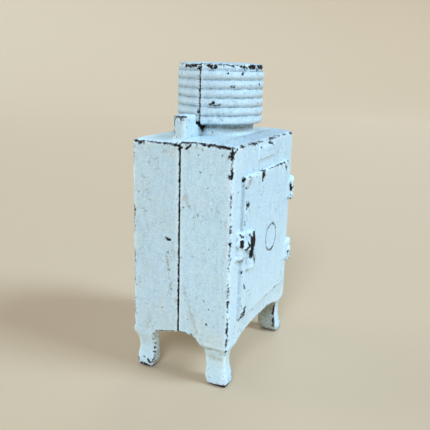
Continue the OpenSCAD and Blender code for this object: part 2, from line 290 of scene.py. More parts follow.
    # latch and handle
    (-23.2, -18.4, 54.2, 0.42), (-22.5, -18.9, 53.2, -21.7, -18.9, 53.0, 0.55), (-22.8, -19.4, 51.6, -23.2, -19.5, 50.4, 1.0),
    (-18.9, -20.0, 50.9, -18.2, -20.0, 49.2, 0.52), (-18.6, -19.9, 48.9, -20.6, -19.8, 48.4, 0.60),
    (-18.0, -20.0, 53.0, -17.4, -20.7, 52.3, 0.45), (-16.4, -20.8, 53.4, -16.5, -20.8, 50.1, 1.0),
    (-17.0, -20.7, 51.5, -16.9, -20.8, 48.2, 1.25), (-17.2, -20.6, 48.0, -17.7, -20.4, 45.8, 0.85),
    (-15.8, -20.7, 46.5, -15.7, -20.7, 44.3, 0.62), (-15.3, -20.8, 51.8, -15.0, -20.7, 48.9, 0.85), (-10.1, -18.7, 43.2, -10.5, -18.7, 40.6, 0.42),
    (6.6, -18.7, 51.0, 7.3, -18.7, 50.6, 0.34), (2.3, -18.7, 42.0, 1.6, -18.7, 42.7, 0.34),
    # hinges
    (22.8, -19.3, 63.0, 22.9, -19.6, 60.8, 0.62), (23.3, -20.0, 61.5, 0.62), (23.0, -19.7, 58.8, 0.3), (24.4, -20.2, 62.0, 0.5),
    (23.1, -19.8, 35.6, 23.1, -19.8, 32.6, 0.34), (24.6, -20.2, 33.6, 0.5),
    # far side and back, which the photo doesn't show
    (28.0, 14.0, 82.4, 28.0, 8.0, 82.4, 0.45), (28.0, 2.6, 82.3, 28.0, -2.0, 82.3, 0.4), (28.0, -9.0, 82.4, 28.0, -16.5, 82.4, 0.4),
    (27.8, -17.1, 70.0, 27.8, -17.1, 66.0, 0.4), (27.8, -17.1, 45.0, 27.8, -17.1, 43.6, 0.4), (28.0, -6.0, 48.0, 28.0, -5.0, 47.2, 0.4),
    (28.0, 8.4, 61.0, 0.35), (28.0, 10.5, 33.0, 28.0, 10.0, 31.4, 0.3), (28.0, -10.0, 26.0, 0.3),
    (-27.8, 19.4, 60.0, -27.8, 19.4, 57.0, 0.4), (27.8, 19.4, 74.0, 27.8, 19.4, 71.0, 0.5), (27.8, 19.4, 40.0, 27.8, 19.4, 37.6, 0.4),
    (-27.8, 19.4, 34.0, -27.8, 19.4, 32.0, 0.35), (-14.0, 19.6, 82.3, -6.0, 19.6, 82.3, 0.4), (9.0, 19.6, 82.4, 20.0, 19.6, 82.4, 0.4),
    (-13.2, 19.6, 75.6, -11.0, 19.6, 75.6, 0.4), (-8.0, 19.6, 72.4, -2.0, 19.6, 72.4, 0.3), (6.0, 19.6, 75.5, 13.0, 19.6, 75.5, 0.32),
    (13.0, 19.6, 72.8, 0.5), (-11.0, 19.65, 40.0, -10.2, 19.65, 38.6, 0.4), (15.0, 19.65, 58.0, 0.35), (18.0, 19.65, 30.0, 17.4, 19.65, 28.6, 0.35),
    (4.2, 19.65, 50.0, 0.45), (-3.0, 19.65, 53.2, 0.5), (-2.0, 19.65, 46.0, 0.45), (9.0, 12.5, 106.7, 4.5, 14.9, 106.8, 0.6),
    (14.0, 4.4, 106.7, 14.3, 1.9, 106.8, 0.5), (-6.0, 14.4, 101.0, 0.4), (10.6, 11.0, 95.2, 0.45), (13.7, -4.0, 97.8, 0.4),
    (12.4, -7.4, 106.8, 0.5), (5.0, 15.0, 92.0, 0.35), (-4.0, 8.0, 108.0, 0.5), (3.0, -6.0, 108.0, 0.4), (7.0, 5.0, 108.0, 0.35),
]

# Thin dark lines: dirt and old cracks in the paint, dark edges round the small plate, and a painted shadow under the
# door's lower edge.
LINES = [
    (-26.7, -8.2, 12.9, -26.7, -11.2, 13.1, 0.34), (-26.7, -11.2, 13.1, -26.7, -12.8, 13.2, 0.18),
    (-26.7, -12.8, 13.2, -26.8, -15.4, 13.2, 0.18), (-27.2, -15.9, 15.0, -27.2, -16.2, 13.2, 0.12),
    (-26.6, -15.4, 12.5, -26.4, -16.2, 12.2, 0.14),
    # dark lines along the small plate's lower and left edges
    (-7.2, -17.6, 76.5, 4.6, -17.6, 76.4, 0.13), (-6.7, -17.8, 80.0, -7.1, -17.8, 76.9, 0.08), (6.9, -17.7, 76.6, 6.9, -17.7, 80.0, 0.04),
    (-28.0, 14.3, 15.4, -27.0, 14.8, 13.2, 0.10), (-28.0, 12.1, 17.4, -28.0, 11.8, 15.8, 0.07),
    (-28.0, -0.2, 18.0, -28.0, -2.6, 17.3, 0.22), (-28.0, -4.3, 17.3, -28.0, -5.8, 18.8, 0.16), (-28.0, -6.6, 17.0, -28.0, -8.0, 15.9, 0.12),
    (-28.0, -12.4, 22.5, -28.0, -12.6, 21.6, 0.10), (-28.0, -3.6, 25.9, -28.0, -5.6, 19.4, -0.10),
    (-28.0, 19.4, 66.0, -28.0, 10.0, 62.6, -0.06), (-28.0, 6.6, 48.4, -28.0, 5.4, 36.0, -0.10), (-28.0, 18.4, 72.0, -28.0, 15.0, 71.0, -0.04),
    # the last two run along the door's lower edge: painted shadow under the door
    (-12.0, -18.75, 60.4, -12.4, -18.75, 55.0, -0.06), (-14.0, -18.8, 23.7, 2.0, -18.8, 23.7, 0.14), (1.0, -18.8, 23.7, 21.0, -18.8, 23.7, 0.26),
    (-28.0, 14.5, 14.8, -26.7, 15.1, 12.4, 0.14), (-28.0, 11.7, 17.8, -28.0, 11.6, 15.2, 0.02), (-28.0, 5.3, 34.6, -28.0, 4.5, 31.2, 0.02), (-28.0, -2.6, 73.5, -28.0, -4.8, 73.3, -0.07), (-28.0, -6.4, 73.2, -28.0, -8.8, 73.4, -0.06), (-28.0, -1.2, 71.8, -28.0, -2.4, 70.6, -0.05),
    (-28.0, -7.4, 31.1, -28.0, -8.5, 30.3, 0.02), (-28.0, -8.5, 30.3, -28.0, -7.8, 29.4, 0.02), (-25.0, 2.6, 89.6, -25.0, 2.4, 87.4, 0.0),
    (-28.0, -3.0, 28.0, -28.0, -3.4, 26.5, -0.04), (-28.0, -4.9, 21.8, -28.0, -6.1, 18.2, 0.0),
    (-28.0, 19.2, 66.1, -28.0, 15.6, 66.3, 0.0), (-28.0, 18.9, 32.4, -28.0, 16.6, 32.3, 0.02), (-28.0, 0.8, 77.0, -28.0, -2.9, 76.8, -0.02),
    (-28.0, -0.5, 74.4, -28.0, -2.4, 73.4, -0.02), (-28.0, -3.3, 53.4, -28.0, -7.6, 52.1, -0.05),
    (28.0, 10.0, 71.0, 28.0, 2.0, 73.4, -0.06), (28.0, -4.0, 30.0, 28.0, -5.0, 22.0, -0.08), (28.0, 15.0, 52.0, 28.0, 12.6, 44.0, -0.06),
    (-20.0, 19.65, 60.0, -14.0, 19.65, 62.5, -0.05), (16.0, 19.65, 47.0, 17.6, 19.65, 39.0, -0.06), (-12.0, 19.65, 28.0, -9.0, 19.65, 22.0, -0.04),
]

# Blobs of paint: x, y, z, radius, height.
LUMPS = [
    (-27.4, -16.4, 13.9, 1.3, 0.75), (-26.6, -15.9, 12.6, 1.0, 0.50), (-27.9, -16.8, 77.6, 0.9, 0.16), (-14.6, 2.4, 91.0, 0.8, 0.25),
    (20.4, -18.6, 68.0, 1.0, 0.2), (-23.6, -17.6, 45.6, 1.2, 0.25), (-9.0, -16.8, 14.2, 1.4, 0.2), (27.6, 12.0, 14.8, 1.2, 0.25),
    (11.0, 19.6, 17.6, 1.3, 0.25), (-5.0, 19.65, 66.0, 1.6, 0.14), (0.6, 16.2, 95.0, 1.2, 0.2),
]

# Paint that has held on inside a bare spot.
KEPT = [
    (-16.0, -20.8, 48.4, -16.4, -20.8, 46.8, 0.36), (-18.2, -20.0, 50.0, 0.0), (-13.9, -2.8, 106.5, 0.28),
    (-2.6, -13.2, 106.9, -1.6, -13.3, 106.2, 0.3), (-27.9, -16.5, 78.6, 0.3),
]

# Where rust has stained the paint: spots and streaks, soft.
STAINS = [
    (-18.4, -18.8, 70.2, -16.0, -18.8, 71.4, 1.5), (-28.0, 3.2, 81.4, -28.0, 3.6, 79.8, 0.5), (-28.0, -3.5, 81.8, -28.0, -8.0, 81.6, 0.3),
    (-28.0, -14.5, 81.6, -28.0, -15.6, 78.0, 0.3), (-28.0, -0.6, 34.4, -28.0, -1.6, 30.0, 0.6), (-28.0, -1.6, 30.0, -28.0, -3.6, 25.4, 0.9), (-28.0, -3.6, 25.4, -28.0, -5.9, 18.9, 0.8),
    (-28.0, 4.4, 74.4, -28.0, 6.8, 67.0, 0.2), (-28.0, 13.4, 58.7, 0.2), (-28.0, 12.8, 44.9, 0.4), (-28.0, -0.8, 66.0, -28.0, -1.8, 62.0, 0.9), (-28.0, 3.4, 26.2, -28.0, 3.2, 20.6, 0.3),
    (-28.0, 10.0, 81.6, -28.0, 17.0, 81.4, 0.3), (-28.0, 0.0, 70.0, -28.0, 0.0, 55.0, 0.1), (-28.0, -0.9, 68.0, -28.0, -1.1, 63.0, 0.5), (-28.0, 6.0, 44.0, -28.0, 4.6, 30.0, 0.5), (-28.0, -15.4, 60.0, -28.0, -15.6, 44.0, 0.2), (-28.0, 2.6, 36.0, -28.0, 2.6, 20.0, 0.3), (4.0, -18.8, 71.8, 8.0, -18.8, 71.8, 0.5),
    (-26.5, -9.0, 10.7, -26.4, -14.2, 10.0, 0.9), (-28.0, 17.0, 22.0, -28.0, 13.0, 16.0, 0.6), (-28.0, -7.4, 18.6, -28.0, -11.0, 15.6, 0.3),
    (-18.5, -18.8, 44.0, -18.7, -18.8, 42.0, 0.5), (-12.6, 10.4, 103.0, 0.5), (12.0, 19.65, 71.0, 12.4, 19.65, 66.0, 0.7),
    (-1.0, 19.65, 45.0, -1.4, 19.65, 38.0, 1.2), (28.0, 6.0, 22.0, 1.6), (27.9, -3.0, 80.6, 1.4), (22.6, -18.4, 57.4, 0.9),
    (22.8, -18.4, 30.6, 0.9), (-28.0, 19.6, 65.9, -28.0, 16.6, 65.0, 0.35),
]


def edge_bias(p):
    """How readily an edge wears bare, from -1 (never) to 1 (always), by place."""
    x, y, z = p[:, 0], p[:, 1], p[:, 2]
    rho = np.hypot(x, y - Y_MID)
    bias = np.full(len(p), 0.06)
    bias = np.where((z > 81.2) & (z < 83.2), 0.34, bias)            # upper edge of the cabinet
    bias = np.where((z > 86.5) & (rho < 16), -0.75, bias)           # ribs
    bias = np.where((z > 106.3) & (rho > 12), 0.14, bias)           # rim of the housing
    bias = np.where(z < 14.5, -0.06, bias)                          # legs
    bias = np.where((np.abs(x) < 26.5) & (y < -17.6) & (z > 20), -0.30, bias)   # door relief
    bias = np.where((np.abs(y - SEAM_Y) < 1.0), -0.45, bias)        # rims of the seam
    bias = np.where((y > 18.5) & (np.abs(x) < 15) & (np.abs(z - 74) < 3), 0.22, bias)   # coin slot
    # the photo settles the side and front that it shows, spot by spot, so chance counts less there
    seen = ((x < -26.5) & (z > 14.5) & (y < 18.8)) | ((y < -16.0) & (z > 14.5)) | ((z > 86.5) & (x - 2.07 * (y - Y_MID) * -1 < 6))
    bias = np.where(seen, bias - 0.45, bias)
    bias = np.where((x < -25.0) & (z < 14.5), np.where(y < 0, -0.75, -0.35), bias)
    bias = np.where((x < -26.5) & (y > 18.3) & (z > 14.5), -0.30, bias)
    return bias


def casting(node, name, seed):
    ob = remeshed(node, name, VOXEL)
    me = ob.data
    v = verts_of(me)

    # the hollow shows little, so its mesh is thinned
    deep = hollow_depth(v)
    group = ob.vertex_groups.new(name="thin")
    inner = np.nonzero(deep > 0.25)[0]
    group.add([int(i) for i in inner], 1.0, "REPLACE")
    me.calc_loop_triangles()
    tris = len(me.loop_triangles)
    lt = np.empty(tris * 3, dtype=np.int32)
    me.loop_triangles.foreach_get("vertices", lt)
    outer_tris = int(np.sum(np.min(deep[lt.reshape(-1, 3)], axis=1) <= 0.25))
    m = ob.modifiers.new("thin", "DECIMATE")
    m.ratio = min(1.0, (outer_tris + 15000) / tris)
    m.vertex_group = "thin"
    me = applied(ob)
    ob.vertex_groups.clear()

    v = verts_of(me)
    s = Smoother(me)
    sharp = v
    v = s.run(v, 3, 0.5)
    # the feet and the seam's faces stay where the CAD has them
    seam_plane = SEAM_Y - 0.2 if node == "front_half" else SEAM_Y + 0.2
    on_seam = 1 - smoothstep(np.abs(sharp[:, 1] - seam_plane), 0.12, 0.3)
    v[:, 1] += (sharp[:, 1] - v[:, 1]) * on_seam * (np.abs(sharp[:, 1] - v[:, 1]) < 0.2)
    # the castings were never quite level: the front one's roof edge stands over the other's
    if node == "front_half":
        lift = smoothstep(v[:, 0], -24.2, -26.8) * smoothstep(v[:, 2], 80.0, 82.2) * (v[:, 2] < 84.2)
        v[:, 2] += 0.60 * lift * (0.35 + 0.65 * smoothstep(v[:, 1], -16.4, -12.5))
        # the handle's free edge swells at the height of the latch
        grip = smoothstep(v[:, 1], -19.1, -20.0) * smoothstep(v[:, 0], -17.2, -15.2) * (v[:, 0] < -13.0) * np.exp(-((v[:, 2] - 50.4) / 2.5) ** 2)
        v[:, 0] += 0.95 * grip
    # the rear legs run up into the cabinet's sides and back without a step
    if node == "rear_half":
        ax, up = np.abs(v[:, 0]), smoothstep(v[:, 2], 7.4, 14.8) * (v[:, 2] < 15.6)
        on_leg = smoothstep(v[:, 1], 9.8, 10.8) * up
        v[:, 0] += np.sign(v[:, 0]) * np.clip(HW - ax, 0, 3) * smoothstep(ax, 24.0, 26.0) * on_leg
        v[:, 1] += np.clip(BACK_Y - v[:, 1], 0, 3) * smoothstep(v[:, 1], 16.6, 18.0) * smoothstep(ax, 20.0, 21.5) * up
        join = smoothstep(v[:, 2], 9.0, 11.0) * smoothstep(v[:, 2], 16.6, 15.2) * smoothstep(v[:, 1], 9.6, 11.2) * smoothstep(ax, 20.5, 22.5)
        v += (s.run(v, 30, 0.5) - v) * (join * 0.9)[:, None]
    # the legs were cast round-edged and are thick with paint
    round_legs = smoothstep(v[:, 2], 13.6, 12.4) * smoothstep(v[:, 2], 0.25, 1.3)
    v += (s.run(v, 18, 0.5) - v) * (round_legs * 0.85)[:, None]
    # so is the foot of the housing's neck
    rho = np.hypot(v[:, 0], v[:, 1] - Y_MID)
    fillet = smoothstep(v[:, 2], 82.8, 83.3) * smoothstep(v[:, 2], 86.4, 85.4) * smoothstep(rho, 10.9, 11.4) * smoothstep(rho, 15.5, 13.5)
    v += (s.run(v, 40, 0.5) - v) * (fillet * (1 - on_seam))[:, None]
    put_verts(me, v)
    n = normals_of(me)

    # how far each point stands out of its surroundings: over 0 on edges, under 0 in corners
    soft = s.run(v, 14, 0.6)
    proud = s.run(((v - soft) * n).sum(1), 1)
    wide = s.run(v, 60, 0.7)
    broad = ((v - wide) * n).sum(1)

    deep = hollow_depth(v)
    outside = 1 - smoothstep(deep, -0.3, 0.3)

    # ---- bare metal: over 0 where the paint is gone, in mm
    n_mid = noise(v, seed + 1, 1.1, 2)
    n_fine = noise(v, seed + 2, 0.62, 1)
    n_low = noise(v, seed + 3, 6.0, 2)
    hand = spots(v, CHIPS)
    hand = hand + (0.40 * n_mid + 0.24 * n_fine) * smoothstep(hand, -0.9, 0.1)
    hand = np.minimum(hand, -spots(v, KEPT) + 0.2 * n_fine)
    edge = np.clip(proud / 0.13, 0, 1.2) - 1.0
    worn = 0.45 * edge + 0.55 * edge_bias(v) + 0.50 * n_low + 0.34 * n_mid + 0.14 * n_fine - 0.06
    worn = np.minimum(worn, (proud - 0.045) * 6 + 0.10 * n_fine)
    x, y, z = v.T
    feet = np.where(x < -24.0, 0.92, 0.74) - z + 0.44 * n_mid + 0.30 * n_low
    # the rims of the seam have lost a ragged hair of paint, least on the roof
    rim_wear = np.where(z > 86.5, -0.26, np.where(z > 38.0, -0.30, np.where(z > 14.0, -0.14, -0.25)))
    rim_wear = np.where((x > 0) | (z > 107.0), np.minimum(rim_wear, -0.36), rim_wear)
    rim = rim_wear - (np.abs(y - SEAM_Y) - 0.2) + 0.42 * n_mid + 0.22 * n_low + 0.16 * n_fine
    rim = np.where((np.abs(y - SEAM_Y) < 1.2) & ~((z > 82.6) & (z < 86.0)), rim, -9)
    box = (z > 84.2) & (x < -10.8) & (y > SEAM_Y)
    bare = np.maximum.reduce([hand, worn, feet, np.where(box & (np.hypot(x, y - Y_MID) > 15.4), -9, rim)])
    # the seam's faces were painted over only at their outer rims
    open_face = box & (np.hypot(x, y - Y_MID) > 14.9)
    on_seam_face = (np.abs(n[:, 1]) > 0.7) & (np.abs(y - seam_plane) < 0.25) & ~open_face
    bare = np.where(on_seam_face & ~((z > 82.6) & (z < 86.5)), np.maximum(bare, 0.25 + 0.3 * n_mid), bare)
    bare = np.clip(bare, -1.5, 0.8)

    # ---- the ring round the plain roundel
    ring_r = np.hypot(x - 5.0, z - 46.25)
    on_door = smoothstep(-y, 18.3, 18.6) * (np.abs(n[:, 1]) > 0.5)
    ring = on_door * np.exp(-((ring_r - 5.0) / 0.34) ** 2)
    lip = on_door * np.exp(-((ring_r - 4.35) / 0.42) ** 2)

    # ---- shape: cast skin, brushed paint, chips that stand back
    rho = np.hypot(x, y - Y_MID)
    on_drum = smoothstep(z, 87.0, 88.0) * smoothstep(rho, 12.5, 13.5) * smoothstep(rho, 16.1, 15.7)
    cast_skin = 0.055 * noise(v, seed + 4, 3.2, 2) * (1 - 0.5 * on_drum) + 0.050 * noise(v, seed + 5, 1.3, 2) * (1 + 0.3 * on_drum)
    lumps = 0.05 * np.maximum(noise(v, seed + 6, 2.2, 1) - 0.35, 0)
    brush = 0.020 * noise(v, seed + 7, (0.9, 0.9, 14.0), 1) * (z < 82) + 0.018 * noise(v, seed + 8, (9.0, 0.8, 0.8), 1) * (z > 82)
    pits = -0.14 * smoothstep(noise(v, seed + 9, 1.5, 1), 0.62, 0.85)
    chip = smoothstep(bare, -0.10, 0.10)
    rough_metal = 0.05 * noise(v, seed + 10, 0.7, 1)
    d = cast_skin + lumps + brush + pits * (1 - chip)
    d = d * (1 - 0.5 * chip) + chip * (rough_metal - 0.13)
    # paint gathers a little beside a chip and fills the deepest corners
    d += 0.05 * np.exp(-((bare + 0.35) / 0.22) ** 2) * outside
    d += np.clip(-proud * 0.25, 0, 0.06) * (1 - chip)
    d += -0.20 * ring + 0.10 * lip
    for lx, ly, lz, lr, lh in LUMPS:
        d += lh * np.exp(-(np.linalg.norm(v - np.array((lx, ly, lz)), axis=1) / lr) ** 2 * 2.2)
    # grooves between the ribs, and the fin of paint beside the seam
    step = (z - DRUM_BASE) / 2.95
    off = np.abs(step - np.round(step)) * 2.95
    groove = on_drum * np.exp(-(off / 0.32) ** 2) * (z < 105.9)
    d += -0.17 * groove * (1 - chip)
    # beside the seam the front half's ribs run out flat, and paint stands in a fin on the rear half's
    flat_strip = on_drum * smoothstep(y, -0.7, 0.4) * (node == "front_half") * (z < 105.9)
    d += 0.42 * np.exp(-(off / 0.55) ** 2) * flat_strip
    d += 0.20 * np.exp(-((y - SEAM_Y - 0.95) / 0.38) ** 2) * on_drum * (x < 0) * (z < 105)
    d *= 0.35 + 0.65 * outside
    d *= 1 - on_seam
    d *= smoothstep(z, 0.0, 0.5) * 0.8 + 0.2
    v2 = v + n * d[:, None]
    # old paint narrows the seam unevenly, and all but fills it on the roof
    fill = 0.08 + 0.11 * np.clip(noise(v, seed + 16, 1.7, 2) + 0.25 * (z > 87) + 0.30 * (x > 0), 0, 1)
    fill = np.where((z > 82.2) & (z < 87.0), 0.155, fill) * smoothstep(deep, 0.2, -0.3)
    v2[:, 1] += fill * on_seam * (1 if node == "front_half" else -1)
    v2[:, 2] = np.maximum(v2[:, 2], 0.0)
    put_verts(me, v2)

    # ---- what the materials read
    # dark in corners and creases: dirt, and painted shade where the surface is hollow
    grime_and_shade = np.clip(-proud / 0.22, 0, 1) * 0.8 + np.clip(-broad / 0.9, 0, 1) * 0.35
    seam_near = np.exp(-((np.abs(y - SEAM_Y) - 0.2) / 0.5) ** 2) * (0.55 + 0.5 * noise(v, seed + 11, 2.4, 2))
    lines = smoothstep(spots(v, LINES) + 0.22 * n_mid + 0.12 * n_fine, -0.14, 0.16)
    roof = (z > 82.6) & (z < 87.0)
    grime_and_shade = np.clip(grime_and_shade * np.where(roof, 0.25, 0.8 - 0.45 * on_drum) + np.where(roof, 0.15, 0.30) * seam_near + 0.5 * ring, 0, 1)
    grime_and_shade = np.maximum(grime_and_shade, 0.85 * lines)
    halo = np.exp(-np.clip(-bare, 0, 9) / 0.30) * np.clip(0.15 + 0.9 * noise(v, seed + 12, 3.0, 2), 0, 1)
    stain = smoothstep(spots(v, STAINS) + 0.9 * noise(v, seed + 13, 1.3, 2) + 0.5 * noise(v, seed + 14, 3.4, 2), -0.8, 0.9)
    # painted shade in grey-blue on the roof's front slope, on the door's left side wall, under the coil housing, on its
    # top and most on its rear half; a darker tone on the box and the rear of the near side, with random mottling; and a
    # yellow tint low on the sides
    slope = (z > 82.2) * (z < 84.2) * smoothstep(y, -10.2, -11.2) * (0.55 + 0.45 * smoothstep(x, -18.0, 2.0))
    door_wall = (np.abs(x + 20.3) < 0.75) * (y < -17.3) * (y > -18.75) * (z > 22.5) * (z < 72.8)
    # painted shadow under the coil housing
    under = smoothstep(z, 88.4, 87.2) * smoothstep(z, 84.0, 86.4) * (rho < 15.4) * 0.85
    cap = smoothstep(z, 106.9, 107.4) * (rho < 15.3) * (0.85 + 0.3 * noise(v, seed + 17, 4.0, 2))
    on_box = (z > 84.2) * (z < 91.5) * (x < -24.4) * (y > SEAM_Y)
    rear_side = (x < -27.0) * (y > SEAM_Y) * (z > 14) * (z < 82.4)
    painted_shade_and_tone = slope * 1.25 + 0.18 * rear_side + 0.30 * on_box + 1.10 * door_wall + under + on_drum * np.where(y > SEAM_Y, 1.0, 0.32) + cap
    painted_shade_and_tone = np.clip(painted_shade_and_tone + 0.18 * smoothstep(noise(v, seed + 15, (7.0, 7.0, 16.0), 2), 0.1, 0.6), 0, 1.25)
    # painted shadow under the coil housing, round the top of its neck
    grime_and_shade = np.maximum(grime_and_shade, 1.0 * smoothstep(z, 85.7, 86.7) * smoothstep(z, 88.4, 87.9) * (rho < 14.9) * (rho > 9) * outside)
    low = smoothstep(z, 32.0, 14.0) * (z > 12.0) * 0.6 + smoothstep(z, 74.0, 82.0) * (z < 82.6) * (y > -17.0) * 0.35
    warm = np.clip(low + 0.75 * (z > 82.4) * (z < 87.0) + 0.30 * (z > 107.0) + 0.5 * (z > 84.2) * (x < -16.0) * (y < 9.0) + 1.0 * (z < 13.5) * smoothstep(z, 3.0, 10.0) + 0.25 * rear_side, 0, 1)
    # painted shade on the legs' inner faces, dark, and warm brown on the front legs
    inner_leg = (z < 13.8) * smoothstep(-n[:, 0] * np.sign(x), 0.2, 0.8) * (np.abs(x) > 19)
    grime_and_shade = np.maximum(grime_and_shade, np.where(y < 0, 0.60, 0.42) * inner_leg)
    front_leg_shade = inner_leg * (y < 0)
    store(me, "rest_mm", v)
    store(me, "bare", bare)
    store(me, "grime_and_shade", grime_and_shade)
    # rust round chips and in stains, and painted warm shade on the front legs' inner faces
    store(me, "rust", np.clip(halo + 0.8 * stain + 1.6 * front_leg_shade, 0, 1.6))
    store(me, "hollow", np.clip(deep, -2, 2))
    # the front's lower part and the strip beside the door are made lighter, and standing edges get a painted highlight
    light = (y < -16.2) * (z > 14.0) * (z < 82.0) * np.clip(0.55 * smoothstep(z, 62.0, 26.0) + 0.5 * (x < -20.6), 0, 0.7)
    store(me, "edge_highlight_and_pale_front", np.clip(np.clip(proud / 0.12, 0, 1) + light, 0, 1) * outside)
    # painted shade and darker tone, for the material
    store(me, "painted_shade_and_tone", painted_shade_and_tone * outside)
    store(me, "warm", warm * outside)
    store(me, "on_door", on_door * (ring_r < 8))
    store(me, "on_drum", on_drum * (z < 106.2))
    me.polygons.foreach_set("use_smooth", np.ones(len(me.polygons), dtype=bool))
    me.update()
    print(name, len(me.polygons), "faces", "proud", np.percentile(proud, [1, 50, 99]).round(3), flush=True)
    return ob


# ---------------------------------------------------------------- materials
class Tree:
    def __init__(self, name):
        self.mat = bpy.data.materials.new(name)
        self.mat.use_nodes = True
        self.t = self.mat.node_tree
        self.bsdf = self.t.nodes["Principled BSDF"]

    def node(self, kind, **props):
        n = self.t.nodes.new(kind)
        for k, val in props.items():
            setattr(n, k, val)
        return n

    def link(self, a, b):
        self.t.links.new(a, b)

    def attr(self, name, vector=False):
        n = self.node("ShaderNodeAttribute", attribute_name=name)
        return n.outputs["Vector"] if vector else n.outputs["Fac"]

    def noise(self, vec, scale, detail=2.0, rough=0.5, stretch=None):
        if stretch is not None:
            m = self.node("ShaderNodeMapping")
            m.inputs["Scale"].default_value = stretch
            self.link(vec, m.inputs["Vector"])
            vec = m.outputs["Vector"]
        n = self.node("ShaderNodeTexNoise")
        n.inputs["Scale"].default_value = scale
        n.inputs["Detail"].default_value = detail
        n.inputs["Roughness"].default_value = rough
        self.link(vec, n.inputs["Vector"])
        return n.outputs["Fac"]

    def math(self, op, a, b=None, clamp=False):
        n = self.node("ShaderNodeMath", operation=op, use_clamp=clamp)
        for i, val in enumerate((a, b)):
            if val is None:
                continue
            if isinstance(val, (int, float)):
                n.inputs[i].default_value = val
            else:
                self.link(val, n.inputs[i])
        return n.outputs[0]

    def ramp(self, val, lo, hi, to_lo=0.0, to_hi=1.0, smooth=True):
        n = self.node("ShaderNodeMapRange", interpolation_type="SMOOTHSTEP" if smooth else "LINEAR")
        for k, x in (("From Min", lo), ("From Max", hi), ("To Min", to_lo), ("To Max", to_hi)):
            n.inputs[k].default_value = x
        self.link(val, n.inputs["Value"])
        return n.outputs["Result"]

    def mix(self, fac, a, b, blend="MIX"):
        n = self.node("ShaderNodeMix", data_type="RGBA", blend_type=blend)
        for sock, val in ((n.inputs[0], fac), (n.inputs[6], a), (n.inputs[7], b)):
            if isinstance(val, (int, float)):
                sock.default_value = val
            elif isinstance(val, tuple):
                sock.default_value = (*val, 1.0)
            else:
                self.link(val, sock)
        return n.outputs[2]


PAINT = (0.59, 0.80, 0.91)
PAINT_WARM = (0.64, 0.765, 0.755)
PAINT_GREY = (0.375, 0.545, 0.655)
PAINT_LIGHT = (0.76, 0.91, 0.96)
# grey-blue of painted shade and of darker tone
PAINTED_SHADE_TINT = (0.32, 0.43, 0.49)
# dark of dirt and of painted shade
DIRT_AND_SHADE = (0.17, 0.19, 0.19)
# rust, also used for painted warm shade on the front legs' inner faces
RUST_AND_SHADE_TINT = (0.39, 0.35, 0.215)
IRON = (0.011, 0.009, 0.009)
IRON_RUST = (0.052, 0.025, 0.015)
IRON_PALE = (0.050, 0.045, 0.043)


def iron_colour(t, co, gap_y=None):
    n1 = t.noise(co, 0.9, 4.0, 0.6)
    n2 = t.noise(co, 2.6, 3.0, 0.6)
    c = t.mix(t.ramp(n1, 0.50, 0.72), IRON, IRON_RUST)
    c = t.mix(t.ramp(n2, 0.60, 0.80, 0.0, 0.55), c, IRON_PALE)
    if gap_y is not None:      # the gap between the halves is black with old dirt
        split = t.node("ShaderNodeSeparateXYZ")
        t.link(co, split.inputs[0])
        away = t.math("ABSOLUTE", t.math("SUBTRACT", split.outputs["Y"], gap_y))
        c = t.mix(t.ramp(away, 0.55, 0.30), c, (0.0065, 0.006, 0.007))
    return c


def inside_colour(t, co):
    """The unpainted inside of the castings: dull iron under patches of rust."""
    n1 = t.noise(co, 0.30, 5.0, 0.65)
    n2 = t.noise(co, 1.6, 4.0, 0.65)
    c = t.mix(t.ramp(n1, 0.38, 0.62), (0.040, 0.033, 0.029), (0.098, 0.046, 0.023))
    return t.mix(t.ramp(n2, 0.55, 0.75, 0.0, 0.6), c, (0.115, 0.095, 0.080))


